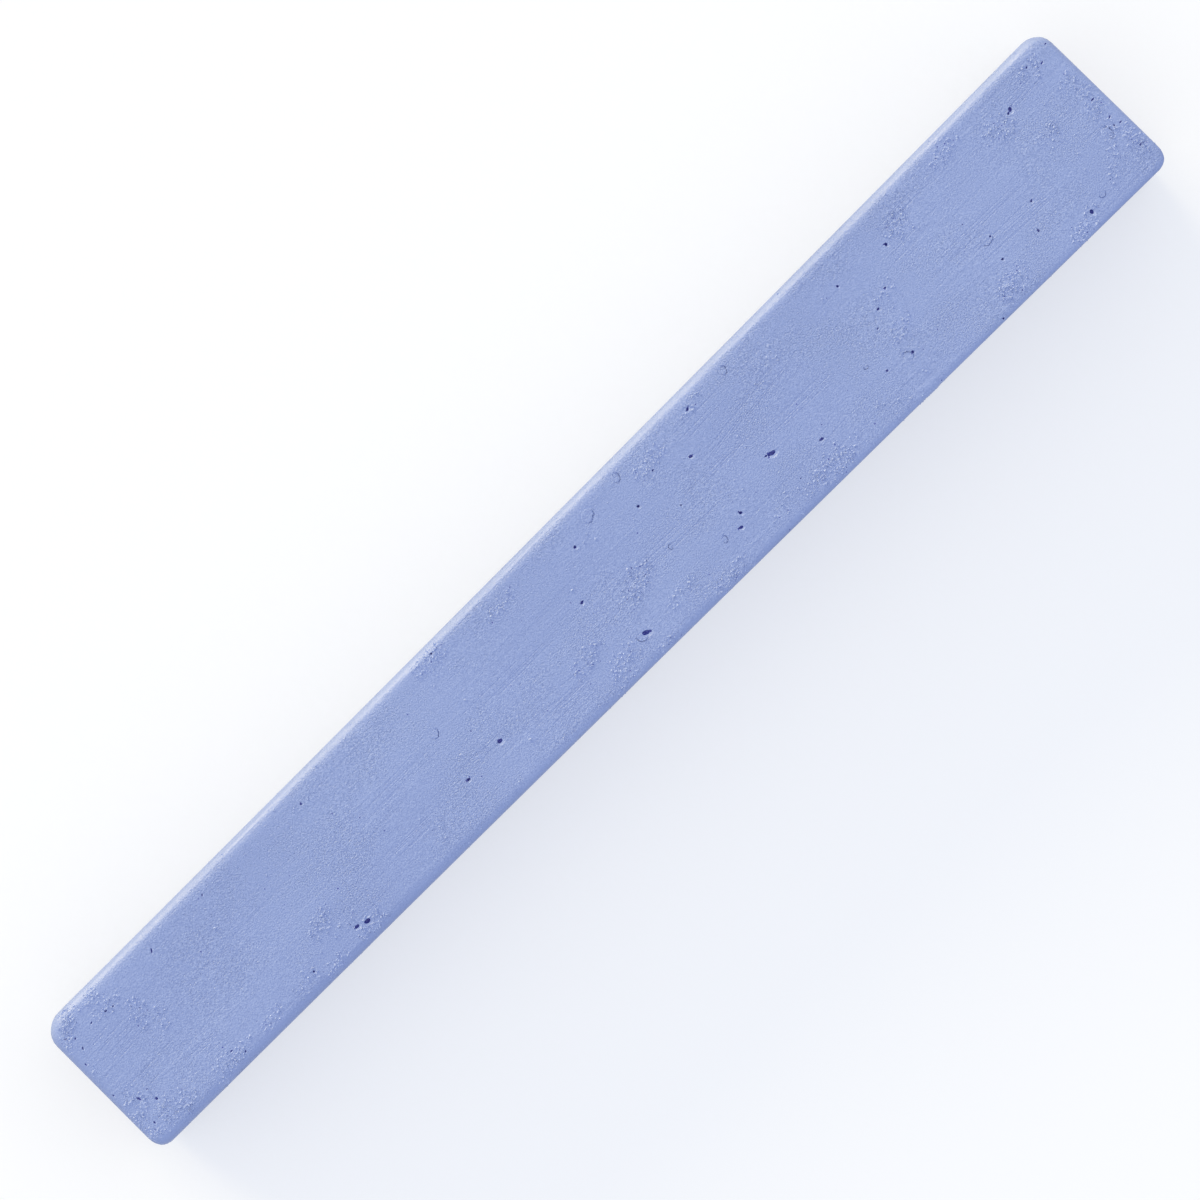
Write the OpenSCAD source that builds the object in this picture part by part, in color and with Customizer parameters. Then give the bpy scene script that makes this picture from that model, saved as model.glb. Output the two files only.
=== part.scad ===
// Oil pastel: one cast stick of square section that narrows a little from its thick end to its thin end.
// It lies along X on its flat underside, with the thick end towards +X and the middle of the length at X = 0.

/* [Stick] */
// Length over both ends
stick_length = 70; // [40:0.5:120]
// Side of the square section at the thick end
thick_side = 9.25; // [6:0.05:16]
// Side of the square section at the thin end
thin_side = 8.5; // [6:0.05:16]
// Rounding of the edges at the thick end
thick_edge_radius = 0.5; // [0.2:0.05:2]
// Rounding of the edges at the thin end
thin_edge_radius = 0.65; // [0.2:0.05:2]

/* [Flaws of the casting] */
// How far the centre of an open bubble lies under the face, as a share of the bubble's radius
bubble_sink = 0.4; // [0:0.05:0.8]
// Depth that a chip takes out of a rounded edge
chip_bite = 0.15; // [0.05:0.05:0.5]

/* [Hidden] */

stick_colour = [0.59, 0.655, 0.83];
roll_facets = 24;
flaw_facets = 24;

// Where the rounding of each end starts
thin_roll_x = thin_edge_radius - stick_length / 2;
thick_roll_x = stick_length / 2 - thick_edge_radius;

// Open air bubbles in the top face: place along the stick in per cent of the length from the thin end,
// place across it in per cent of the side from the centre line, and diameter of the mouth
bubbles = [
    [1.0, -35, 0.15],
    [1.1, 34, 0.15],
    [1.5, -18, 0.22],
    [2.4, -26, 0.15],
    [21.0, -36, 0.2],
    [21.7, -39, 0.3],
    [34.0, -22, 0.18],
    [37.4, -20, 0.24],
    [48.6, 3, 0.2],
    [50.0, -34, 0.35],
    [50.9, 29, 0.2],
    [56.0, 19, 0.18],
    [60.1, -30, 0.22],
    [60.9, -24, 0.2],
    [61.1, 18, 0.2],
    [63.3, 38, 0.2],
    [65.1, -12, 0.22],
    [65.4, -13, 0.28],
    [65.7, -13, 0.2],
    [68.6, -26, 0.22],
    [75.3, -26, 0.14],
    [77.0, 27, 0.2],
    [77.9, 2, 0.18],
    [79.3, 8, 0.15],
    [81.4, 24, 0.22],
    [86.6, -26, 0.15],
    [89.9, -28, 0.16],
    [90.9, -15, 0.16],
    [93.4, -41, 0.3],
    [94.3, 26, 0.3],
    [94.6, 28, 0.28]
];

// Chips in the two upper long edges: place along the stick in per cent of the length from the thin end,
// and the side of the centre line on which the edge lies
chips = [
    [1.9, 1],
    [6.7, -1],
    [56.0, -1],
    [59.0, -1]
];

// Distance from a place where two faces would meet in a sharp edge to the rounded edge, for a radius of 1
edge_setback = sqrt(2) - 1;

function along_to_x(along) = stick_length * (along / 100 - 0.5);

// Value at x of something that changes evenly from the thin end to the thick end
function taper(thin, thick, x) = thin + (thick - thin) * (x - thin_roll_x) / (thick_roll_x - thin_roll_x);
function side_at(x) = taper(thin_side, thick_side, x);
function edge_radius_at(x) = taper(thin_edge_radius, thick_edge_radius, x);

// Balls that round the four corners of one end, with their poles along the stick and their flats at the radius
module end_corners(x, side, radius) {
    reach = side / 2 - radius;
    for (y = [-reach, reach])
        for (z = [radius, side - radius])
            translate([x, y, z])
                rotate([0, 90, 0])
                    sphere(radius / cos(180 / roll_facets), $fn = roll_facets);
}

module open_bubble(along, across, mouth) {
    x = along_to_x(along);
    side = side_at(x);
    radius = mouth / 2 / sqrt(1 - bubble_sink * bubble_sink);
    translate([x, side * across / 100, side - bubble_sink * radius])
        sphere(radius, $fn = flaw_facets);
}

module edge_chip(along, way) {
    x = along_to_x(along);
    side = side_at(x);
    translate([x, way * side / 2, side])
        sphere(edge_radius_at(x) * edge_setback + chip_bite, $fn = flaw_facets);
}

module pastel_stick() {
    color(stick_colour)
        difference() {
            hull() {
                end_corners(thin_roll_x, thin_side, thin_edge_radius);
                end_corners(thick_roll_x, thick_side, thick_edge_radius);
            }
            for (flaw = bubbles)
                open_bubble(flaw[0], flaw[1], flaw[2]);
            for (flaw = chips)
                edge_chip(flaw[0], flaw[1]);
        }
}

pastel_stick();
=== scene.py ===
import math

import bpy
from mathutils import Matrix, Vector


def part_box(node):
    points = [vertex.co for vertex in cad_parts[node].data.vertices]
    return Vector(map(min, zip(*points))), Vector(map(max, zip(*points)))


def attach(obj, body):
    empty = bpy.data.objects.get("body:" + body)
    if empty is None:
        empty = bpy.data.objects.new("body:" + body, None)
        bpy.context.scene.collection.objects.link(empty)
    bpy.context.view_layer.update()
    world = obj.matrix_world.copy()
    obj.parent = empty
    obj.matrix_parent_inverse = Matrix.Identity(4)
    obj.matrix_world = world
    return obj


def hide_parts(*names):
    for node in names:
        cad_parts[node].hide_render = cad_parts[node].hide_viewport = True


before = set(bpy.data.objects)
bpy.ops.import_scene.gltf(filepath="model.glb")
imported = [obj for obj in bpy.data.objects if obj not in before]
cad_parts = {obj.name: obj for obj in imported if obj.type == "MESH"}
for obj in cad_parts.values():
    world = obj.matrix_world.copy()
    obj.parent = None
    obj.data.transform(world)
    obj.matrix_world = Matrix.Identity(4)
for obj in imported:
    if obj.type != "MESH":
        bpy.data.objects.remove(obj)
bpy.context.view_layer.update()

# The stick: one casting of wax, oil and pigment, poured hot into a square mould that narrows towards one
# end. Trapped air leaves burst bubbles, and pushing it out lengthwise leaves drag lines and crumbly
# patches. Nothing is fixed to it: it lies loose on its flat underside.

MM = 0.001
stick_low, stick_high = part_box("pastel_stick")
stick_length = stick_high.x - stick_low.x


def side_at_end(x):
    """Width of the CAD stick close to one of its ends."""
    reach = 2 * MM
    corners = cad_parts["pastel_stick"].data.vertices
    return 2 * max(abs(v.co.y) for v in corners if abs(v.co.x - x) < reach)


body_sizes = {
    "Length": stick_length,
    "Thin side": side_at_end(stick_low.x),
    "Thick side": side_at_end(stick_high.x),
    "Flare": 1.6,
    "Near edge radius": 0.54 * MM,
    "Near edge roundness": 1.5,
    "Far edge radius at thin end": 0.62 * MM,
    "Far edge radius at thick end": 0.18 * MM,
    "Near corner radius at thin end": 1.25 * MM,
    "Near corner radius at thick end": 1.0 * MM,
    "Far corner radius": 0.8 * MM,
    "Thick end lean": 0.15 * MM,
    "Waviness": 0.004 * MM,
}
body_rows = 90
body_columns = 28
crowding = 0.75
circle_roundness = 2.0
lean_curve = 2.0
wave_length = 9 * MM


def put(tree, kind, inputs=(), out=0, **settings):
    """Adds a node, fills its inputs with values or links, and gives back one of its outputs."""
    node = tree.nodes.new(kind)
    for name, value in settings.items():
        setattr(node, name, value)
    filled = inputs.items() if isinstance(inputs, dict) else enumerate(inputs)
    for key, value in filled:
        if isinstance(value, bpy.types.NodeSocket):
            tree.links.new(value, node.inputs[key])
        elif value is not None:
            node.inputs[key].default_value = value
    return node.outputs[out]


def calc(tree, operation, *values, **settings):
    return put(tree, "ShaderNodeMath", values, operation=operation, **settings)


def between(tree, low, high, share):
    """Value part of the way from low to high."""
    return calc(tree, "MULTIPLY_ADD", calc(tree, "SUBTRACT", high, low), share, low)


def vector(tree, operation, *values):
    return put(tree, "ShaderNodeVectorMath", values, operation=operation)


def xyz(tree, x, y, z):
    return put(tree, "ShaderNodeCombineXYZ", (x, y, z))


def part(tree, of_vector, axis):
    return put(tree, "ShaderNodeSeparateXYZ", [of_vector], axis)


def swing(tree, place, spacing, seed, **noise):
    """Noise from -1 to 1 that changes over the given spacing along X, Y and Z."""
    spread = vector(tree, "DIVIDE", place, spacing)
    wobble = {"Vector": spread, "W": seed, "Scale": 1.0, **noise}
    fac = put(tree, "ShaderNodeTexNoise", wobble, noise_dimensions="4D")
    return calc(tree, "MULTIPLY_ADD", fac, 2.0, -1.0)


def fade(tree, value, start, end, before, after):
    """Goes smoothly from before to after as the value goes from start to end."""
    steps = (value, start, end, before, after)
    return put(tree, "ShaderNodeMapRange", steps, interpolation_type="SMOOTHSTEP")


def node_tree(name, sizes):
    """Geometry node tree that takes geometry and a number for each size, and gives geometry."""
    tree = bpy.data.node_groups.new(name, "GeometryNodeTree")
    tree.interface.new_socket("Geometry", in_out="INPUT", socket_type="NodeSocketGeometry")
    for label, value in sizes.items():
        number = tree.interface.new_socket(label, in_out="INPUT", socket_type="NodeSocketFloat")
        number.default_value = value
    tree.interface.new_socket("Geometry", in_out="OUTPUT", socket_type="NodeSocketGeometry")
    return tree, tree.nodes.new("NodeGroupInput").outputs, tree.nodes.new("NodeGroupOutput").inputs


# The body as poured: the points of a fine cube are pressed onto a flaring bar, whose corners are round
# as seen from above and whose edges are rolled. Rows and columns of points crowd towards the edges
body_tree, size, body_out = node_tree("poured_body", body_sizes)
cube_counts = ((2.0, 2.0, 2.0), body_rows, body_columns, body_columns)
cube = put(body_tree, "GeometryNodeMeshCube", cube_counts)
cube_place = put(body_tree, "GeometryNodeInputPosition")


def crowded(axis):
    """Place of a cube's point from -1 to 1 along one axis, drawn towards the nearer end."""
    even = part(body_tree, cube_place, axis)
    drawn = calc(body_tree, "SINE", calc(body_tree, "MULTIPLY", even, math.pi / 2))
    return between(body_tree, even, drawn, crowding)


half_length = calc(body_tree, "MULTIPLY", size["Length"], 0.5)
bar_x = calc(body_tree, "MULTIPLY", crowded("X"), half_length)
share = calc(body_tree, "DIVIDE", bar_x, size["Length"])
share = calc(body_tree, "ADD", share, 0.5, use_clamp=True)
flared = calc(body_tree, "POWER", share, size["Flare"])
side = between(body_tree, size["Thin side"], size["Thick side"], flared)
half = calc(body_tree, "MULTIPLY", side, 0.5)
bar_y = calc(body_tree, "MULTIPLY", crowded("Y"), half)
bar_z = calc(body_tree, "MULTIPLY", crowded("Z"), half)
near_share = calc(body_tree, "MULTIPLY_ADD", part(body_tree, cube_place, "Y"), 0.5, 0.5)
far_edges = (size["Far edge radius at thin end"], size["Far edge radius at thick end"])
far_edge = between(body_tree, *far_edges, share)
edge = between(body_tree, far_edge, size["Near edge radius"], near_share)
near_corners = (size["Near corner radius at thin end"], size["Near corner radius at thick end"])
near_corner = between(body_tree, *near_corners, share)
corner = between(body_tree, size["Far corner radius"], near_corner, near_share)


def held_in(value, limit):
    """The value, kept between the limit and its opposite."""
    capped = calc(body_tree, "MINIMUM", value, limit)
    return calc(body_tree, "MAXIMUM", capped, calc(body_tree, "MULTIPLY", limit, -1.0))


plan_place = xyz(body_tree, bar_x, bar_y, 0.0)
plan_core = xyz(
    body_tree,
    held_in(bar_x, calc(body_tree, "SUBTRACT", half_length, corner)),
    held_in(bar_y, calc(body_tree, "SUBTRACT", half, corner)),
    0.0,
)
plan_out = vector(body_tree, "SUBTRACT", plan_place, plan_core)
plan_length = put(body_tree, "ShaderNodeVectorMath", [plan_out], "Value", operation="LENGTH")
plan_reach = calc(body_tree, "MINIMUM", plan_length, calc(body_tree, "SUBTRACT", corner, edge))
plan_way = vector(body_tree, "NORMALIZE", plan_out)
plan_inner = vector(body_tree, "MULTIPLY_ADD", plan_way, plan_reach, plan_core)
inner_z = held_in(bar_z, calc(body_tree, "SUBTRACT", half, edge))
inner = vector(body_tree, "ADD", plan_inner, xyz(body_tree, 0.0, 0.0, inner_z))
outward = vector(body_tree, "SUBTRACT", xyz(body_tree, bar_x, bar_y, bar_z), inner)
outward = vector(body_tree, "NORMALIZE", outward)
roundness = between(body_tree, circle_roundness, size["Near edge roundness"], near_share)
rise = calc(body_tree, "ABSOLUTE", part(body_tree, outward, "Z"))
run = calc(body_tree, "MULTIPLY_ADD", rise, calc(body_tree, "MULTIPLY", rise, -1.0), 1.0)
run = calc(body_tree, "SQRT", run)
out_reach = calc(body_tree, "POWER", rise, roundness)
out_reach = calc(body_tree, "ADD", out_reach, calc(body_tree, "POWER", run, roundness))
out_reach = calc(body_tree, "POWER", out_reach, calc(body_tree, "DIVIDE", 1.0, roundness))
out_reach = calc(body_tree, "DIVIDE", edge, out_reach)
skin_place = vector(body_tree, "MULTIPLY_ADD", outward, out_reach, inner)
lean = calc(body_tree, "MULTIPLY", calc(body_tree, "POWER", near_share, lean_curve), share)
lean = calc(body_tree, "MULTIPLY", lean, calc(body_tree, "MULTIPLY", size["Thick end lean"], -1.0))
skin_place = vector(body_tree, "ADD", skin_place, xyz(body_tree, lean, 0.0, half))
wave = swing(body_tree, skin_place, (wave_length,) * 3, seed=1.0, Detail=1.0)
wave = calc(body_tree, "MULTIPLY", wave, size["Waviness"])
skin_place = vector(body_tree, "MULTIPLY_ADD", outward, wave, skin_place)
body = put(body_tree, "GeometryNodeSetPosition", {"Geometry": cube, "Position": skin_place})
body_tree.links.new(body, body_out[0])

# Flaws of the top face, by place along the stick in per cent of its length from the thin end and place
# across it in per cent of its side. Burst bubbles also have the width of the mouth in mm, its length
# over its width, and its turn in degrees
bubbles = [
    (0.4, -7, 0.07, 1.4, 90),
    (0.6, 17, 0.07, 2.0, 90),
    (1.2, -35, 0.08, 2.0, 80),
    (1.3, 25, 0.07, 2.5, 60),
    (1.4, 32, 0.08, 1.4, 30),
    (1.6, -19, 0.1, 2.4, 100),
    (2.5, -26, 0.11, 1.4, 90),
    (3.0, 32, 0.07, 1.8, 30),
    (4.3, 31, 0.09, 1.5, -20),
    (4.9, 30, 0.08, 1.2, 0),
    (8.6, -37, 0.08, 1.8, 0),
    (9.3, -43, 0.08, 1.6, 60),
    (9.6, 37, 0.08, 3.0, 50),
    (14.9, 39, 0.06, 2.0, 60),
    (16.7, -38, 0.11, 1.0, 0),
    (21.1, -37, 0.15, 1.8, 0),
    (21.9, -39, 0.21, 1.6, -10),
    (24.4, 36, 0.11, 1.0, 0),
    (34.0, -22, 0.15, 1.4, 0),
    (37.5, -19, 0.18, 1.6, 0),
    (38.4, 44, 0.1, 1.0, 0),
    (48.5, 4, 0.13, 1.7, 20),
    (50.2, -33.5, 0.22, 1.7, -20),
    (50.5, -34.5, 0.12, 1.3, -40),
    (50.9, 29, 0.15, 1.1, 0),
    (56.1, 20, 0.14, 1.0, 0),
    (58.3, 3.5, 0.08, 1.0, 0),
    (58.6, 28.5, 0.08, 1.3, 30),
    (60.2, -29, 0.14, 1.7, -20),
    (60.9, -23, 0.15, 1.2, -30),
    (61.2, 19, 0.13, 1.7, -25),
    (63.4, 39, 0.12, 1.9, 35),
    (65.0, -10.5, 0.1, 1.4, 0),
    (65.4, -11.5, 0.22, 2.0, -12),
    (68.6, -25.5, 0.13, 2.0, -12),
    (75.3, -24, 0.11, 1.0, 0),
    (76.9, -4, 0.08, 1.2, 0),
    (77.0, 28, 0.12, 1.0, 0),
    (77.5, -26.5, 0.15, 1.0, 0),
    (77.9, 3.5, 0.12, 1.4, 0),
    (79.3, 9, 0.1, 1.0, 0),
    (81.5, 25.5, 0.16, 1.0, 0),
    (83.7, -48.5, 0.11, 1.0, 0),
    (86.6, -25, 0.12, 1.0, 0),
    (87.1, -11.5, 0.1, 1.0, 0),
    (89.8, -27.5, 0.11, 1.5, 90),
    (90.9, -13.5, 0.12, 1.0, 0),
    (93.4, -40.5, 0.2, 1.2, 90),
    (94.1, 28.5, 0.1, 1.2, 20),
    (94.4, 29.5, 0.18, 1.4, 45),
    (97.3, 39, 0.08, 1.4, 30),
    (98.3, 35, 0.07, 2.6, 20),
    (98.8, -16, 0.07, 1.8, 60),
    (99.0, 2, 0.08, 2.6, 0),
    (99.0, -11, 0.07, 2.4, 20),
    (99.2, -33, 0.08, 2.4, 30),
    (99.3, -17, 0.07, 2.2, 0),
    (99.5, 41, 0.06, 2.4, 0),
]
# Blisters, each with its radius in mm
blisters = [
    (34.6, 10, 0.22),
    (49.8, -34, 0.25),
    (53.1, 36.5, 0.36),
    (56.4, 40, 0.22),
    (67.1, 40, 0.2),
    (77.1, -26.5, 0.25),
    (86.8, -11.5, 0.3),
    (55.7, -9, 0.12),
    (58.8, -27.5, 0.16),
    (74.4, -14.5, 0.11),
    (94.8, -38, 0.16),
    (98.1, -16, 0.3),
]
# Crumbly patches, each with its radius in mm
patches = [
    (0.4, -28, 0.5),
    (0.5, -40, 0.5),
    (0.7, 10, 0.3),
    (0.9, 34, 0.4),
    (1.2, -14, 0.4),
    (1.7, -22, 0.5),
    (2.0, 43, 0.6),
    (2.2, -34, 0.8),
    (3.3, 32, 0.4),
    (3.8, -41, 0.6),
    (4.3, 42, 0.6),
    (4.8, 32, 0.5),
    (5.8, 20, 0.4),
    (6.2, 13, 0.35),
    (6.5, 5, 0.4),
    (7.6, -38, 0.5),
    (8.6, -44, 0.4),
    (9.3, -41, 0.4),
    (12.2, -40, 0.35),
    (15.2, 38, 0.4),
    (15.5, -39, 0.4),
    (17.9, -45, 0.5),
    (19.4, -20, 0.4),
    (20.3, -29, 0.4),
    (22.1, -44, 0.4),
    (38.0, 43, 0.6),
    (43.3, 37, 0.4),
    (43.5, -47, 0.35),
    (44.3, 36, 0.4),
    (45.1, 31, 0.4),
    (45.5, -47, 0.35),
    (45.9, -20, 0.5),
    (47.4, -36, 0.6),
    (48.0, -47, 0.35),
    (48.6, 38, 0.3),
    (48.6, 28, 0.3),
    (50.2, 27, 0.4),
    (50.5, -47, 0.4),
    (52.4, -10, 0.7),
    (52.8, 29, 0.4),
    (53.6, -30, 0.4),
    (57.0, -45, 0.5),
    (58.5, 29, 0.9),
    (61.3, -42, 0.4),
    (63.0, -38, 0.5),
    (66.5, -39, 0.4),
    (68.6, -42, 0.9),
    (69.8, 25, 0.4),
    (72.8, -37, 0.3),
    (76.0, -42, 0.5),
    (77.8, -14, 0.35),
    (83.3, 29, 0.7),
    (85.4, -38, 0.6),
    (86.6, -37, 0.5),
    (88.3, 39, 0.4),
    (89.3, 39, 0.4),
    (92.3, 28, 0.6),
    (93.3, 24, 0.5),
    (92.0, -45, 0.6),
    (95.3, 5, 0.6),
    (96.4, -37, 0.35),
    (96.6, 38, 0.4),
    (97.6, -26, 0.3),
    (98.0, 36, 0.7),
    (98.8, 17, 0.4),
    (98.9, 8, 0.5),
    (99.0, -3, 0.6),
    (98.5, -17, 0.5),
    (99.0, -25, 0.4),
    (99.2, -33, 0.6),
]
# Deeper drag lines: where each starts and ends along the stick, and where across it
drag_lines = [
    (0.8, 2.4, 42, 41),
    (1.2, 4.6, -43, -44),
    (1.6, 5.2, -45, -45),
    (1.6, 4.2, 19, 20),
    (2.0, 4.6, 9, 10),
    (2.6, 5.0, 16, 16),
    (2.8, 6.0, 12, 13),
    (2.5, 5.0, -14, -13),
    (5.5, 9.0, -24, -25),
    (24.0, 31.0, -23, -24),
    (26.0, 36.0, 4, 4),
    (28.8, 33.5, 6, 8),
    (35.0, 47.0, 4, 4),
    (33.0, 39.0, -19, -18),
    (38.5, 47.0, -23, -30),
    (37.0, 47.5, -30, -31),
    (49.0, 63.0, -6, -8),
    (58.0, 66.0, 6, 8),
    (60.0, 68.0, 30, 32),
    (61.0, 68.0, 10, 18),
    (64.0, 72.0, 14, 21),
    (64.0, 74.0, -1, -2),
    (80.0, 84.0, 16, 17),
    (80.5, 87.0, 34, 35),
    (80.0, 93.5, -2, -4),
    (84.0, 94.5, -17, -20),
    (84.0, 95.0, -16, -16),
    (93.5, 99.0, 30, 32),
    (96.0, 99.0, -15, -15),
]
# Chips in the long edges, each with the side that its edge lies on
chips = [(2.1, 1), (6.8, -1), (56.1, -1), (59.0, -1)]
chip_width = 0.26 * MM
edge_across = 50
flaw_sizes = {
    "Bubble sink": 0.45,
    "Bubble depth": 1.4,
    "Rim width": 1.6,
    "Rim depth": 0.8,
    "Drag half width": 0.055 * MM,
    "Drag depth": 0.011 * MM,
    "Hidden bubbles per area": 50000.0,
    "Hidden patches per area": 7000.0,
    "Hidden lines per area": 50000.0,
    "Specks per area": 100000.0,
    "Specks in patches per area": 6.0e6,
    "Crumbs per area": 1.25e8,
    "Flakes per area": 1.5e5,
}
BUBBLE, BLISTER, PATCH, LINE, CHIP = range(5)


def on_top(along, across):
    """Point of the top face, from its place along and across in per cent."""
    share = along / 100
    thin, thick = body_sizes["Thin side"], body_sizes["Thick side"]
    side = thin + (thick - thin) * share ** body_sizes["Flare"]
    return (stick_length * (share - 0.5), side * across / 100, side)


def drag_line(start, end, start_across, end_across):
    """Mark of a drag line: its middle, kind, half length, stretch and turn."""
    first = on_top(start, start_across)
    last = on_top(end, end_across)
    middle = on_top((start + end) / 2, (start_across + end_across) / 2)
    run, rise = last[0] - first[0], last[1] - first[1]
    return (middle, LINE, math.hypot(run, rise) / 2, 1.0, math.atan2(rise, run))


marks = [(on_top(a, c), BUBBLE, w * MM, s, math.radians(t)) for a, c, w, s, t in bubbles]
marks += [(on_top(a, c), BLISTER, r * MM, 1.0, 0.0) for a, c, r in blisters]
marks += [(on_top(a, c), PATCH, r * MM, 1.0, 0.0) for a, c, r in patches]
marks += [(on_top(a, edge_across * way), CHIP, chip_width, 1.0, 0.0) for a, way in chips]
marks += [drag_line(*places) for places in drag_lines]
mark_mesh = bpy.data.meshes.new("flaw_marks")
mark_mesh.from_pydata([mark[0] for mark in marks], [], [])
for column, label in enumerate(("kind", "width", "stretch", "turn"), start=1):
    layer = mark_mesh.attributes.new(label, "FLOAT", "POINT")
    layer.data.foreach_set("value", [mark[column] for mark in marks])


def srgb(*levels):
    """Colour for a shader from its 0 to 255 levels on screen."""
    shares = [level / 255 for level in levels]
    return tuple(s / 12.92 if s <= 0.04045 else ((s + 0.055) / 1.055) ** 2.4 for s in shares) + (1.0,)


# Grain of the wax, for every face of it: slow mottling, hairlines dragged along the mould and fine grit,
# which is rough in some places and rubbed smooth in others
grain_group = bpy.data.node_groups.new("wax_grain", "ShaderNodeTree")
for label in ("Patch", "Rolled"):
    grain_group.interface.new_socket(label, in_out="INPUT", socket_type="NodeSocketFloat")
for label in ("Mottle", "Drag", "Grit"):
    grain_group.interface.new_socket(label, in_out="OUTPUT", socket_type="NodeSocketFloat")
mottle_spacing = (14 * MM, 4 * MM, 4 * MM)
rub_spacing = (5 * MM, 3 * MM, 3 * MM)
hairline_spacing = (11 * MM, 0.22 * MM, 0.22 * MM)
grit_spacing = (0.08 * MM,) * 3
smooth_from, rough_from = -0.25, 0.3
smooth_grit, rough_grit = 0.65, 1.2
edge_smoothing = -0.6
patch_roughing = 0.3
hairline_from, hairline_to = 0.12, 0.5
hairline_sets = ((4.0, math.radians(2.5)), (7.0, math.radians(-1.5)))
grain_in = grain_group.nodes.new("NodeGroupInput").outputs
grain_out = grain_group.nodes.new("NodeGroupOutput").inputs
stick_place = put(grain_group, "ShaderNodeTexCoord", out="Object")
mottle = swing(grain_group, stick_place, mottle_spacing, seed=3.0, Detail=3.0)
rubbed = swing(grain_group, stick_place, rub_spacing, seed=6.0, Detail=2.0)
rubbed = fade(grain_group, rubbed, smooth_from, rough_from, smooth_grit, rough_grit)
edge_rub = calc(grain_group, "MULTIPLY_ADD", grain_in["Rolled"], edge_smoothing, 1.0)
rubbed = calc(grain_group, "MULTIPLY", rubbed, edge_rub)
roughed = calc(grain_group, "MULTIPLY_ADD", grain_in["Patch"], patch_roughing, rubbed)
grit = swing(grain_group, stick_place, grit_spacing, seed=5.0, Detail=1.0)
grit = calc(grain_group, "MULTIPLY", grit, roughed)
hairlines = []
for seed, slant in hairline_sets:
    slanted = {"Vector": stick_place, "Rotation": (0.0, 0.0, slant)}
    slanted = put(grain_group, "ShaderNodeMapping", slanted)
    lines = swing(grain_group, slanted, hairline_spacing, seed, Detail=1.0)
    hairlines.append(fade(grain_group, lines, hairline_from, hairline_to, 0.0, 1.0))
drag = calc(grain_group, "SUBTRACT", *hairlines)
for label, value in (("Mottle", mottle), ("Drag", drag), ("Grit", grit)):
    grain_group.links.new(value, grain_out[label])

# Broken wax is paler, partly as a painted highlight. Drag-line grooves are darker, by a fifth as much:
# painted shade
groove_shade_share = -0.2
middle_tone = 0.5
grit_gloss = 0.08


def wax_material(name, deep, middle, pale, shares, roughness, relief):
    """Matte wax: the grain's three parts, in these shares, move its colour, its gloss and its relief."""
    material = bpy.data.materials.new(name)
    material.use_nodes = True
    tree = material.node_tree
    patch = put(tree, "ShaderNodeAttribute", out="Fac", attribute_name="rough")
    rolled = put(tree, "ShaderNodeAttribute", out="Fac", attribute_name="rolled")
    grain = tree.nodes.new("ShaderNodeGroup")
    grain.node_tree = grain_group
    tree.links.new(patch, grain.inputs["Patch"])
    tree.links.new(rolled, grain.inputs["Rolled"])
    grain = grain.outputs
    tone = calc(tree, "MULTIPLY_ADD", grain["Mottle"], shares["Mottle"], middle_tone)
    tone = calc(tree, "MULTIPLY_ADD", grain["Drag"], shares["Drag"], tone)
    tone = calc(tree, "MULTIPLY_ADD", grain["Grit"], shares["Grit"], tone)
    tone = calc(tree, "MULTIPLY_ADD", patch, shares["Patch"], tone)
    # Cut marks: paler where broken, partly a painted highlight; darker in drag-line grooves, as painted
    # shade
    cut_mark_with_painted_light = put(tree, "ShaderNodeAttribute", out="Fac", attribute_name="cut")
    cut_mark_with_painted_light = calc(tree, "MAXIMUM", cut_mark_with_painted_light, groove_shade_share)
    tone = calc(tree, "MULTIPLY_ADD", cut_mark_with_painted_light, shares["Cut_and_painted_light"], tone)
    ramp = tree.nodes.new("ShaderNodeValToRGB")
    ramp.color_ramp.elements[0].color = deep
    ramp.color_ramp.elements[1].color = pale
    ramp.color_ramp.elements.new(middle_tone).color = middle
    tree.links.new(tone, ramp.inputs["Fac"])
    height = calc(tree, "MULTIPLY", grain["Drag"], relief["Drag"])
    height = calc(tree, "MULTIPLY_ADD", grain["Grit"], relief["Grit"], height)
    normal = put(tree, "ShaderNodeBump", {"Height": height, "Distance": 1.0, "Strength": 1.0})
    gloss = calc(tree, "MULTIPLY_ADD", grain["Grit"], grit_gloss, roughness)
    shader = tree.nodes["Principled BSDF"].inputs
    tree.links.new(ramp.outputs["Color"], shader["Base Color"])
    tree.links.new(gloss, shader["Roughness"])
    tree.links.new(normal, shader["Normal"])
    return material


skin = wax_material(
    "pastel_skin",
    deep=srgb(115, 132, 186),
    middle=srgb(147, 164, 212),
    pale=srgb(179, 194, 234),
    shares={"Mottle": 0.13, "Drag": 0.05, "Grit": 0.56, "Patch": 0.08, "Cut_and_painted_light": 0.2},
    roughness=0.4,
    relief={"Drag": 0.008 * MM, "Grit": 0.034 * MM},
)
# Wax inside the hollows: deeper and richer than the skin, partly fresh wax and partly painted shade for
# their depth
deep_wax_and_painted_shade = wax_material(
    "pastel_deep_wax_and_painted_shade",
    deep=srgb(54, 58, 136),
    middle=srgb(80, 86, 172),
    pale=srgb(125, 138, 205),
    shares={"Mottle": 0.1, "Drag": 0.0, "Grit": 0.9, "Patch": 0.0, "Cut_and_painted_light": 0.0},
    roughness=0.5,
    relief={"Drag": 0.0, "Grit": 0.02 * MM},
)

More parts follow.
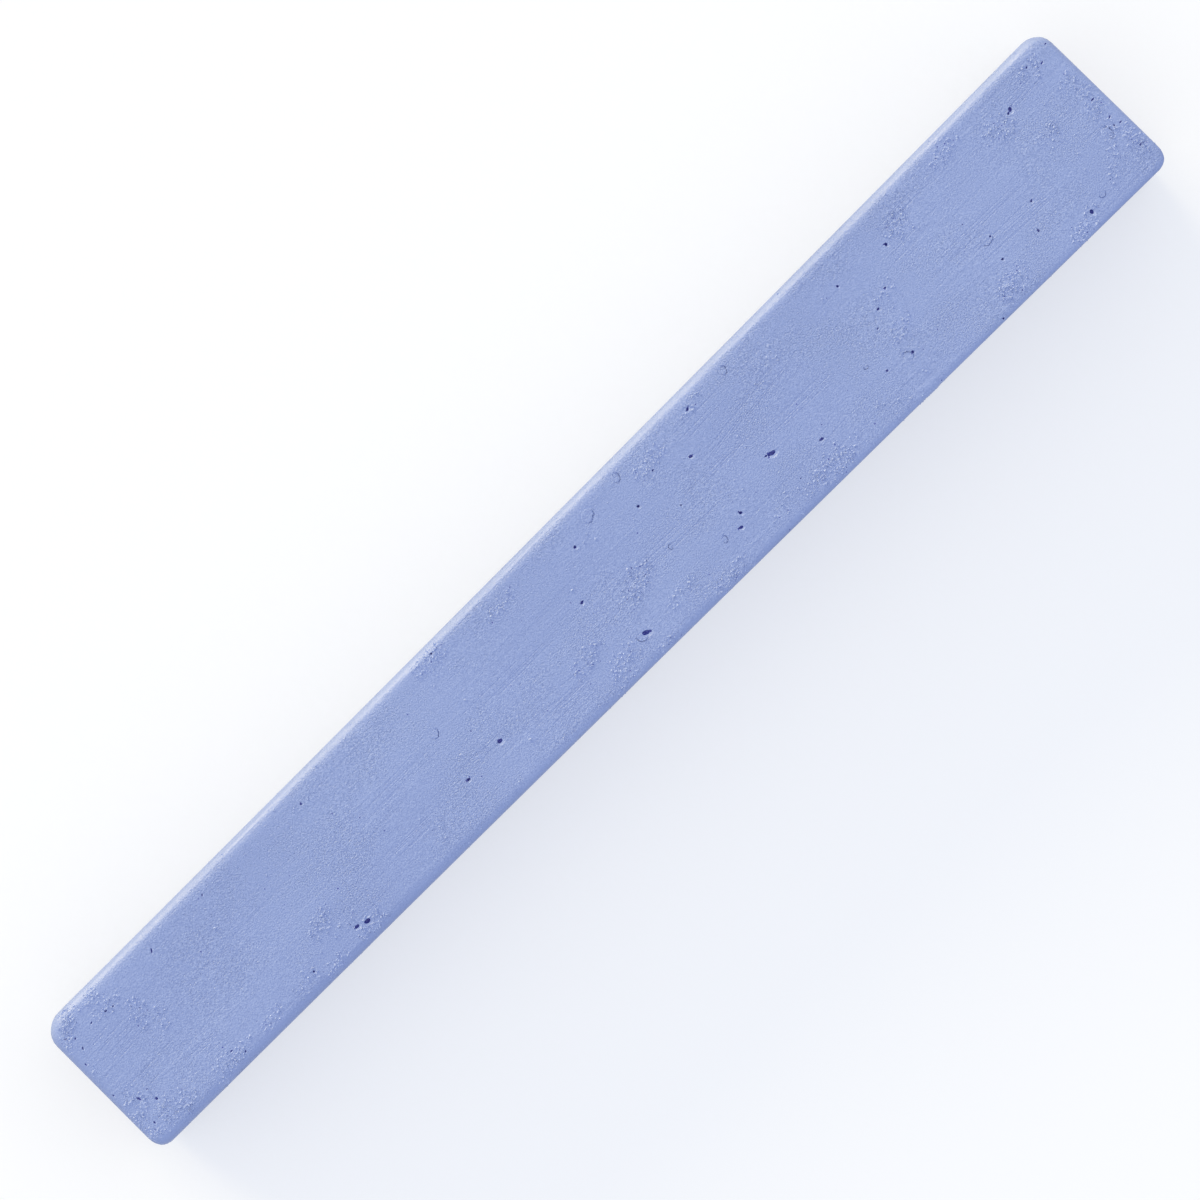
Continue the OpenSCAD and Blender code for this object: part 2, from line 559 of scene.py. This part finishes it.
# The casting: crumbs are joined to the poured body, and every other flaw is cut out of it
blob_kinds = 4
lump_cell = 0.9
speck_shape = {"Segments": 5, "Rings": 2, "Radius": 1.0}
level_slant = 0.1
under_slant = -0.5
any_turn = 3.0
cast_sizes = {**body_sizes, **flaw_sizes}
cast_tree, size, cast_out = node_tree("cast_stick", cast_sizes)
body = cast_tree.nodes.new("GeometryNodeGroup")
body.node_tree = body_tree
for label in body_sizes:
    cast_tree.links.new(size[label], body.inputs[label])
body = body.outputs[0]
place = put(cast_tree, "GeometryNodeInputPosition")
normal_here = put(cast_tree, "GeometryNodeInputNormal")
body_normal = put(
    cast_tree,
    "GeometryNodeSampleNearestSurface",
    {"Mesh": body, "Value": normal_here, "Sample Position": place},
    data_type="FLOAT_VECTOR",
)
upright = put(
    cast_tree,
    "FunctionNodeAxesToRotation",
    (body_normal, (1.0, 0.0, 0.0)),
    primary_axis="Z",
    secondary_axis="X",
)


def attribute(label):
    return put(cast_tree, "GeometryNodeInputNamedAttribute", {"Name": label}, data_type="FLOAT")


def store(geometry, label, value, domain):
    stored = {"Geometry": geometry, "Name": label, "Value": value}
    return put(cast_tree, "GeometryNodeStoreNamedAttribute", stored, data_type="FLOAT", domain=domain)


def compare(operation, a, b):
    sides = {"A": a, "B": b}
    return put(cast_tree, "FunctionNodeCompare", sides, data_type="FLOAT", operation=operation)


def marks_of(kind):
    """The marks of one kind."""
    same = put(
        cast_tree,
        "FunctionNodeCompare",
        {"A": attribute("kind"), "B": float(kind), "Epsilon": 0.1},
        data_type="FLOAT",
        operation="EQUAL",
    )
    return put(cast_tree, "GeometryNodeSeparateGeometry", [all_marks, same], domain="POINT")


def chance(low, high, seed):
    """Number between low and high for each point, drawn anew for each seed."""
    picks = put(cast_tree, "FunctionNodeRandomValue", {"Seed": seed}, data_type="FLOAT").node
    picks.inputs[2].default_value = low
    picks.inputs[3].default_value = high
    return picks.outputs[1]


def scatter(density, seed, selection=True):
    """Points strewn over the body's faces."""
    strewn = {"Mesh": body, "Selection": selection, "Density": density, "Seed": seed}
    return put(cast_tree, "GeometryNodeDistributePointsOnFaces", strewn)


def scaled(way, factor):
    return put(cast_tree, "ShaderNodeVectorMath", {0: way, "Scale": factor}, operation="SCALE")


def moved_by(points, offset):
    return put(cast_tree, "GeometryNodeSetPosition", {"Geometry": points, "Offset": offset})


def moved_to(points, position):
    return put(cast_tree, "GeometryNodeSetPosition", {"Geometry": points, "Position": position})


def moved_out(points, distance):
    """Points moved away from the body along its normal."""
    return moved_by(points, scaled(body_normal, distance))


def copied(points, amount):
    copies = {"Geometry": points, "Amount": amount}
    return put(cast_tree, "GeometryNodeDuplicateElements", copies, domain="POINT")


def joined(*geometries):
    whole = cast_tree.nodes.new("GeometryNodeJoinGeometry")
    for geometry in geometries:
        cast_tree.links.new(geometry, whole.inputs[0])
    return whole.outputs[0]


def turned(angle):
    """Rotation that stands on the body's normal, turned about it from the stick's own direction."""
    turn = put(cast_tree, "FunctionNodeEulerToRotation", [xyz(cast_tree, 0.0, 0.0, angle)])
    return put(cast_tree, "FunctionNodeRotateRotation", (upright, turn), rotation_space="LOCAL")


def turned_any_way(seed):
    return turned(chance(-any_turn, any_turn, seed))


def as_cutter(mesh, inner, cut=1.0):
    """A cutter's faces carry two marks: cut is 1 where broken, paler as partly a painted highlight, and
    -1 in a drag line, painted shade; the other mark is 1 inside, where the deep colour is partly painted
    shade.
    """
    return store(store(mesh, "cut", cut, "FACE"), "deep_wax_and_painted_shade", inner, "FACE")


def blobs(detail, lumpiness, inner):
    """A few lumpy blobs of about radius 1, each an instance. Without detail they are specks."""
    shapes = []
    for kind in range(blob_kinds):
        if detail:
            ball = put(cast_tree, "GeometryNodeMeshIcoSphere", (1.0, detail))
        else:
            ball = put(cast_tree, "GeometryNodeMeshUVSphere", speck_shape)
        lump = swing(cast_tree, place, (lump_cell,) * 3, seed=10.0 + kind, Detail=1.0)
        lump = calc(cast_tree, "MULTIPLY_ADD", lump, lumpiness, 1.0)
        ball = moved_to(ball, scaled(place, lump))
        shapes.append(put(cast_tree, "GeometryNodeGeometryToInstance", [as_cutter(ball, inner)]))
    return joined(*shapes)


def strewn_blobs(points, shapes, scale, rotation, seed):
    """One of the blobs on each of the points."""
    pick = put(cast_tree, "FunctionNodeRandomValue", {"Seed": seed}, data_type="INT").node
    pick.inputs[4].default_value = 0
    pick.inputs[5].default_value = blob_kinds - 1
    placed = {
        "Points": points,
        "Instance": shapes,
        "Pick Instance": True,
        "Instance Index": pick.outputs[2],
        "Scale": scale,
        "Rotation": rotation,
    }
    return put(cast_tree, "GeometryNodeInstanceOnPoints", placed)


def times(*values):
    product = values[0]
    for value in values[1:]:
        product = calc(cast_tree, "MULTIPLY", product, value)
    return product


on_body = put(cast_tree, "GeometryNodeProximity", [body], "Position", target_element="FACES")
all_marks = put(cast_tree, "GeometryNodeMeshToPoints", [size["Geometry"]])
all_marks = moved_to(all_marks, on_body)
# Blobs marked 1 inside line their hollows with the deep material, which is partly painted shade
pit_blobs = blobs(detail=3, lumpiness=0.4, inner=1.0)
rim_blobs = blobs(detail=3, lumpiness=0.3, inner=0.0)
small_pit_blobs = blobs(detail=2, lumpiness=0.4, inner=1.0)
chip_blobs = blobs(detail=3, lumpiness=0.5, inner=0.0)
crumb_blobs = blobs(detail=0, lumpiness=0.4, inner=0.0)
speck_blobs = blobs(detail=0, lumpiness=0.4, inner=1.0)
slant_up = part(cast_tree, normal_here, "Z")
slant_along = calc(cast_tree, "ABSOLUTE", part(cast_tree, normal_here, "X"))
not_up = compare("LESS_THAN", slant_up, level_slant)
not_under = compare("GREATER_THAN", slant_up, under_slant)
not_end = compare("LESS_THAN", slant_along, level_slant)

# Burst bubbles: the mouth is narrower than the hollow under it. A shallow dish runs round it, off its
# middle, and smaller pits lie close by. All but their number are shares of a bubble's width or reach
mouth_half = 0.46
rim_lift = 0.3
rim_along, rim_across = 0.3, -0.75
side_pits_each = 2
side_pit_along = 1.3
side_pit_across = 1.0
side_pit_share = (0.3, 0.65)
side_pit_stretch = 1.6
bubble_reach = times(attribute("width"), mouth_half / math.sqrt(1 - flaw_sizes["Bubble sink"] ** 2))
bubble_long = times(bubble_reach, attribute("stretch"))
bubble_marks = marks_of(BUBBLE)
bubble_turn = turned(attribute("turn"))
bubble_pits = strewn_blobs(
    moved_out(bubble_marks, times(bubble_reach, size["Bubble sink"], -1.0)),
    pit_blobs,
    xyz(cast_tree, bubble_long, bubble_reach, times(bubble_reach, size["Bubble depth"])),
    bubble_turn,
    seed=21,
)
rim_long = times(bubble_long, size["Rim width"])
rim_reach = times(bubble_reach, size["Rim width"])
rim_depth = times(bubble_reach, size["Rim depth"])
rim_shift = xyz(cast_tree, times(bubble_reach, rim_along), times(bubble_reach, rim_across), 0.0)
bubble_rims = strewn_blobs(
    moved_by(moved_out(bubble_marks, times(rim_depth, rim_lift)), rim_shift),
    rim_blobs,
    xyz(cast_tree, rim_long, rim_reach, rim_depth),
    bubble_turn,
    seed=22,
)
side_pit_shift = xyz(
    cast_tree,
    times(bubble_long, chance(-side_pit_along, side_pit_along, seed=31)),
    times(bubble_reach, chance(-side_pit_across, side_pit_across, seed=32)),
    0.0,
)
side_pit_shift = put(cast_tree, "FunctionNodeRotateVector", (side_pit_shift, bubble_turn))
side_pit_marks = moved_by(copied(bubble_marks, side_pits_each), side_pit_shift)
side_pit_reach = times(bubble_reach, chance(*side_pit_share, seed=33))
side_pit_long = times(side_pit_reach, chance(1.0, side_pit_stretch, seed=34))
side_pits = strewn_blobs(
    moved_to(side_pit_marks, on_body),
    small_pit_blobs,
    xyz(cast_tree, side_pit_long, side_pit_reach, side_pit_reach),
    turned_any_way(seed=35),
    seed=27,
)
hidden_pit_size = 0.15 * MM
hidden_pit_least = 0.4
hidden_pit_stretch = 1.7
hidden_marks = scatter(size["Hidden bubbles per area"], seed=41, selection=not_up)
hidden_reach = calc(cast_tree, "POWER", chance(hidden_pit_least, 1.0, seed=42), 2.0)
hidden_reach = times(hidden_reach, hidden_pit_size)
hidden_long = times(hidden_reach, chance(1.0, hidden_pit_stretch, seed=43))
hidden_pits = strewn_blobs(
    moved_out(hidden_marks, times(hidden_reach, size["Bubble sink"], -1.0)),
    small_pit_blobs,
    xyz(cast_tree, hidden_long, hidden_reach, hidden_reach),
    turned_any_way(seed=44),
    seed=23,
)

# Chips lie along the edges. Blisters are rings, tilted so that only one side of each bites deep
chip_stretch = 1.5
chip_lift = 0.4
chip_reach = times(attribute("width"), 0.5)
chip_cuts = strewn_blobs(
    moved_out(marks_of(CHIP), times(chip_reach, chip_lift)),
    chip_blobs,
    xyz(cast_tree, times(chip_reach, chip_stretch), chip_reach, chip_reach),
    upright,
    seed=25,
)
ring_steps, ring_sides = 40, 8
ring_thickness = 0.2
ring_cell = 0.35
ring_bend = 0.5
ring_tilt = math.radians(8)
ring_long, ring_short = 1.15, 0.85
ring_depth = 0.25 * MM
ring_path = {"Resolution": ring_steps, "Radius": 1.0}
ring_path = put(cast_tree, "GeometryNodeCurvePrimitiveCircle", ring_path)
ring_section = {"Resolution": ring_sides, "Radius": ring_thickness}
ring_section = put(cast_tree, "GeometryNodeCurvePrimitiveCircle", ring_section)
ring = {"Curve": ring_path, "Profile Curve": ring_section}
ring = put(cast_tree, "GeometryNodeCurveToMesh", ring)
rings = []
for kind in range(blob_kinds):
    bend = swing(cast_tree, place, (ring_cell,) * 3, seed=60.0 + kind, Detail=2.0)
    bend = calc(cast_tree, "MULTIPLY_ADD", bend, ring_bend, 1.0)
    bent = moved_to(ring, vector(cast_tree, "MULTIPLY", place, bend))
    tilted = {"Geometry": bent, "Rotation": (ring_tilt, 0.0, 0.0)}
    tilted = put(cast_tree, "GeometryNodeTransform", tilted)
    rings.append(put(cast_tree, "GeometryNodeGeometryToInstance", [as_cutter(tilted, inner=0.0)]))
ring_reach = attribute("width")
blister_cuts = strewn_blobs(
    marks_of(BLISTER),
    joined(*rings),
    xyz(cast_tree, times(ring_reach, ring_long), times(ring_reach, ring_short), ring_depth),
    turned_any_way(seed=61),
    seed=28,
)

# Drag lines run in sheaves on the top face and singly on the long sides. A line's cutter is a long thin
# ball that lies on the body and dips into it by the line's depth
lines_each = 5
line_shift_share = 0.4
sheaf_reach_mm = 0.4
hidden_line_mm = (1.0, 4.0)
hidden_line_slant = 0.03
line_least = 0.45
line_shape = {"Segments": 10, "Rings": 8, "Radius": 1.0}
line_height = 2.0
line_shift = xyz(
    cast_tree,
    times(attribute("width"), chance(-line_shift_share, line_shift_share, seed=71)),
    times(chance(-sheaf_reach_mm, sheaf_reach_mm, seed=72), MM),
    0.0,
)
line_marks = moved_to(moved_by(copied(marks_of(LINE), lines_each), line_shift), on_body)
on_long_side = put(cast_tree, "FunctionNodeBooleanMath", (not_up, not_end), operation="AND")
hidden_lines = scatter(size["Hidden lines per area"], seed=74, selection=on_long_side)
hidden_line_reach = times(chance(*hidden_line_mm, seed=75), MM)
hidden_lines = store(hidden_lines, "width", hidden_line_reach, "POINT")
hidden_line_turn = chance(-hidden_line_slant, hidden_line_slant, seed=76)
hidden_lines = store(hidden_lines, "turn", hidden_line_turn, "POINT")
line_ball = put(cast_tree, "GeometryNodeMeshUVSphere", line_shape)
lying = {"Geometry": line_ball, "Rotation": (0.0, math.pi / 2, 0.0)}
line_ball = put(cast_tree, "GeometryNodeTransform", lying)
line_reach = times(attribute("width"), chance(line_least, 1.0, seed=73))
line_half_height = times(size["Drag depth"], line_height)
# Drag-line faces are marked -1, which paints the grooves darker: painted shade
line_cuts = put(
    cast_tree,
    "GeometryNodeInstanceOnPoints",
    {
        "Points": moved_out(joined(line_marks, hidden_lines), size["Drag depth"]),
        "Instance": as_cutter(line_ball, inner=0.0, cut=-1.0),
        "Rotation": turned(attribute("turn")),
        "Scale": xyz(cast_tree, line_reach, size["Drag half width"], line_half_height),
    },
)

# Crumbs stand thick in the patches, thinner along the rolled edges and here and there on the faces, with
# specks of shade between them. The outline of a patch is warped, so that no patch is round
hidden_patch_mm = (0.35, 0.9)
warp_cell = 0.7 * MM
warp_reach = 0.5 * MM
patch_core = 0.4
edge_crumbs = 0.007
low_crumb = 0.045 * MM
added_on_top = 0.045 * MM
crumb_least = 0.45
crumb_stretch = 1.6
crumb_height = 1.1
crumb_sink = -0.1
speck_mm = (0.015, 0.038)
speck_stretch = 1.8
hidden_patches = scatter(size["Hidden patches per area"], seed=81, selection=not_up)
hidden_patch_reach = times(chance(*hidden_patch_mm, seed=82), MM)
hidden_patches = store(hidden_patches, "width", hidden_patch_reach, "POINT")
all_patches = joined(marks_of(PATCH), marks_of(CHIP), bubble_marks, hidden_patches)
warp = put(
    cast_tree,
    "ShaderNodeTexNoise",
    {"Vector": place, "Scale": 1 / warp_cell, "Detail": 1.0},
    "Color",
    noise_dimensions="3D",
)
warp = vector(cast_tree, "MULTIPLY_ADD", warp, (warp_reach,) * 3, (-warp_reach / 2,) * 3)
warped_place = vector(cast_tree, "ADD", place, warp)
nearest = {"Geometry": all_patches, "Sample Position": warped_place}
nearest = put(cast_tree, "GeometryNodeSampleNearest", nearest, domain="POINT")


def of_nearest_patch(value, data_type):
    sampled = {"Geometry": all_patches, "Value": value, "Index": nearest}
    return put(cast_tree, "GeometryNodeSampleIndex", sampled, data_type=data_type, domain="POINT")


patch_way = vector(cast_tree, "SUBTRACT", warped_place, of_nearest_patch(place, "FLOAT_VECTOR"))
patch_distance = put(cast_tree, "ShaderNodeVectorMath", [patch_way], "Value", operation="LENGTH")
patch_reach = of_nearest_patch(attribute("width"), "FLOAT")
patch_share = calc(cast_tree, "DIVIDE", patch_distance, patch_reach)
rough = fade(cast_tree, patch_share, patch_core, 1.0, 1.0, 0.0)


def squared_up(normal):
    """1 where the normal points straight up or down, and 0 where it lies level."""
    up = part(cast_tree, normal, "Z")
    return calc(cast_tree, "MULTIPLY", up, up)


def rolled_share(squared):
    """1 halfway round a rolled edge, and 0 on the flat faces."""
    return times(squared, calc(cast_tree, "SUBTRACT", 1.0, squared), 4.0)


rolled_here = rolled_share(squared_up(normal_here))
crumb_share = calc(cast_tree, "MULTIPLY_ADD", rolled_here, edge_crumbs, rough)
crumb_density = (crumb_share, size["Crumbs per area"], size["Flakes per area"])
crumb_density = calc(cast_tree, "MULTIPLY_ADD", *crumb_density)
crumb_marks = scatter(crumb_density, seed=83, selection=not_under)
body_up = squared_up(body_normal)
crumb_reach = calc(cast_tree, "POWER", chance(crumb_least, 1.0, seed=84), 2.0)
crumb_reach = times(crumb_reach, calc(cast_tree, "MULTIPLY_ADD", body_up, added_on_top, low_crumb))
crumb_long = times(crumb_reach, chance(1.0, crumb_stretch, seed=85))
# Crumb faces are marked as broken, which paints them paler: partly a painted highlight
crumbs = strewn_blobs(
    moved_out(crumb_marks, times(crumb_reach, crumb_sink)),
    crumb_blobs,
    xyz(cast_tree, crumb_long, crumb_reach, times(crumb_reach, crumb_height)),
    turned_any_way(seed=86),
    seed=26,
)
speck_density = (rough, size["Specks in patches per area"], size["Specks per area"])
speck_density = calc(cast_tree, "MULTIPLY_ADD", *speck_density)
speck_reach = times(chance(*speck_mm, seed=52), MM)
speck_long = times(speck_reach, chance(1.0, speck_stretch, seed=54))
speck_pits = strewn_blobs(
    scatter(speck_density, seed=51),
    speck_blobs,
    xyz(cast_tree, speck_long, speck_reach, speck_reach),
    turned_any_way(seed=53),
    seed=24,
)

# Joining, cutting and shading. An edge between a cut face and a whole one averages their marks, so its
# mark is near a half, and it is left sharp, as steep edges are
brink_mark, brink_margin = 0.5, 0.3
sharp_angle = math.radians(50)
cast = cast_tree.nodes.new("GeometryNodeMeshBoolean")
cast.operation = "UNION"
cast.solver = "MANIFOLD"
for solid in (body, crumbs):
    cast_tree.links.new(solid, cast.inputs["Mesh 2"])
pit_cuts = (bubble_pits, bubble_rims, side_pits, hidden_pits, speck_pits)
all_cuts = joined(*pit_cuts, chip_cuts, blister_cuts, line_cuts)
cast = put(
    cast_tree,
    "GeometryNodeMeshBoolean",
    {"Mesh 1": cast.outputs[0], "Mesh 2": all_cuts},
    operation="DIFFERENCE",
    solver="MANIFOLD",
)
cast = store(cast, "rough", rough, "POINT")
cast = store(cast, "rolled", rolled_share(body_up), "POINT")
smooth_faces = {"Geometry": cast, "Shade Smooth": True}
cast = put(cast_tree, "GeometryNodeSetShadeSmooth", smooth_faces, domain="FACE")
steep = compare("GREATER_THAN", put(cast_tree, "GeometryNodeInputMeshEdgeAngle"), sharp_angle)
on_brink = calc(cast_tree, "ABSOLUTE", attribute("cut"))
on_brink = calc(cast_tree, "COMPARE", on_brink, brink_mark, brink_margin)
on_brink = compare("GREATER_THAN", on_brink, 0.5)
sharp = put(cast_tree, "FunctionNodeBooleanMath", (steep, on_brink), operation="OR")
sharp_edges = {"Geometry": cast, "Selection": sharp, "Shade Smooth": False}
cast = put(cast_tree, "GeometryNodeSetShadeSmooth", sharp_edges, domain="EDGE")
cast = put(cast_tree, "GeometryNodeRealizeInstances", [cast])
cast = put(cast_tree, "GeometryNodeSetMaterial", {"Geometry": cast, "Material": skin})
# Faces inside bubbles, pits and specks take the deep material: partly painted shade
inside = compare("GREATER_THAN", attribute("deep_wax_and_painted_shade"), 0.5)
hollows = {"Geometry": cast, "Selection": inside, "Material": deep_wax_and_painted_shade}
cast = put(cast_tree, "GeometryNodeSetMaterial", hollows)
cast_tree.links.new(cast, cast_out[0])

stick = bpy.data.objects.new("stick", mark_mesh)
bpy.context.scene.collection.objects.link(stick)
casting = stick.modifiers.new("casting", "NODES")
casting.node_group = cast_tree
for item in cast_tree.interface.items_tree:
    if item.in_out == "INPUT" and item.socket_type == "NodeSocketFloat":
        casting[item.identifier] = cast_sizes[item.name]
evaluated = stick.evaluated_get(bpy.context.evaluated_depsgraph_get())
stick_mesh = bpy.data.meshes.new_from_object(evaluated)
stick.modifiers.remove(casting)
stick.data = stick_mesh
stick_mesh.name = "stick"
bpy.data.meshes.remove(mark_mesh)
for slot in reversed(range(len(stick_mesh.materials))):
    if stick_mesh.materials[slot] is None:
        stick_mesh.materials.pop(index=slot)

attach(stick, "root")
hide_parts("pastel_stick")

# The floor: a plain pale sheet that runs out of sight on every side. It stands for the studio's table,
# and it looks white from the camera while it keeps the stick's shadow.

floor_size = 3.0
floor_drop = 0.02 * MM
floor_grey = 0.55
floor_glow = 0.47
floor_reach = floor_size / 2
floor_ways = ((-1, -1), (1, -1), (1, 1), (-1, 1))
floor_corners = [(x * floor_reach, y * floor_reach, -floor_drop) for x, y in floor_ways]
floor_mesh = bpy.data.meshes.new("floor")
floor_mesh.from_pydata(floor_corners, [], [(0, 1, 2, 3)])
floor = bpy.data.objects.new("floor", floor_mesh)
bpy.context.scene.collection.objects.link(floor)
floor_material = bpy.data.materials.new("pale_floor")
floor_material.use_nodes = True
floor_shader = floor_material.node_tree.nodes["Principled BSDF"].inputs
floor_shader["Base Color"].default_value = (floor_grey, floor_grey, floor_grey, 1.0)
floor_shader["Roughness"].default_value = 0.9
floor_shader["Specular IOR Level"].default_value = 0.0


def seen_directly(tree):
    """1 where a ray comes straight from the camera, or by way of a gloss or a glass, and 0 elsewhere."""
    path = put(tree, "ShaderNodeLightPath").node.outputs
    seen = calc(tree, "MAXIMUM", path["Is Camera Ray"], path["Is Glossy Ray"])
    return calc(tree, "MAXIMUM", seen, path["Is Transmission Ray"])


floor_tree = floor_material.node_tree
glow = calc(floor_tree, "MULTIPLY", seen_directly(floor_tree), floor_glow)
floor_shader["Emission Color"].default_value = (1.0, 1.0, 1.0, 1.0)
floor_tree.links.new(glow, floor_shader["Emission Strength"])
floor_mesh.materials.append(floor_material)

# The light: a cool sky that is brightest overhead, and one broad, warm lamp low on the stick's far side,
# which brightens its upper long edge and shows up the relief of its faces.

sky_overhead = 1.0
sky_horizon = 0.45
overhead_colour = (0.97, 1.005, 1.09, 1.0)
horizon_colour = (0.86, 0.99, 1.24, 1.0)
world = bpy.data.worlds.new("studio")
world.use_nodes = True
bpy.context.scene.world = world
tree = world.node_tree
sky_height = part(tree, put(tree, "ShaderNodeTexCoord", out="Generated"), "Z")
sky_height = calc(tree, "MAXIMUM", sky_height, 0.0)
sky_level = between(tree, sky_horizon, sky_overhead, sky_height)
seen = seen_directly(tree)
sky_level = between(tree, sky_level, 1.0, seen)
sky_colours = {0: sky_height, 6: horizon_colour, 7: overhead_colour}
sky_colour = put(tree, "ShaderNodeMix", sky_colours, 2, data_type="RGBA")
sky_mix = {0: seen, 6: sky_colour, 7: (1.0, 1.0, 1.0, 1.0)}
sky_tint = put(tree, "ShaderNodeMix", sky_mix, 2, data_type="RGBA")
backdrop = tree.nodes["Background"].inputs
tree.links.new(sky_tint, backdrop["Color"])
tree.links.new(sky_level, backdrop["Strength"])

lamp_height = math.radians(12)
lamp = bpy.data.lights.new("side_lamp", "SUN")
lamp.energy = 3.0
lamp.color = (1.0, 0.84, 0.46)
lamp.angle = math.radians(30)
lamp_object = bpy.data.objects.new("side_lamp", lamp)
lamp_object.rotation_euler = (lamp_height - math.pi / 2, 0.0, 0.0)
bpy.context.scene.collection.objects.link(lamp_object)

# The camera looks straight down through a long lens, from far enough off for the photograph's flat
# view, and it is turned so that the stick lies as it does there.

photo_px_per_mm = 20.24
photo_px = 1200
photo_middle = (600, 600)
stick_middle = (602, 592.5)
stick_tilt = math.radians(44.84)
camera_data = bpy.data.cameras.new("camera")
camera_data.lens = 200
camera_data.sensor_width = 36
frame_width = photo_px / photo_px_per_mm * MM
sight_height = stick_high.z - body_sizes["Near edge radius"]
right = (stick_middle[0] - photo_middle[0]) / photo_px_per_mm * MM
up = (photo_middle[1] - stick_middle[1]) / photo_px_per_mm * MM
camera = bpy.data.objects.new("camera", camera_data)
camera.location = (
    -right * math.cos(stick_tilt) - up * math.sin(stick_tilt),
    right * math.sin(stick_tilt) - up * math.cos(stick_tilt),
    sight_height + frame_width * camera_data.lens / camera_data.sensor_width,
)
camera.rotation_euler = (0.0, 0.0, -stick_tilt)
bpy.context.scene.collection.objects.link(camera)
bpy.context.scene.camera = camera
bpy.context.scene.view_settings.view_transform = "Standard"
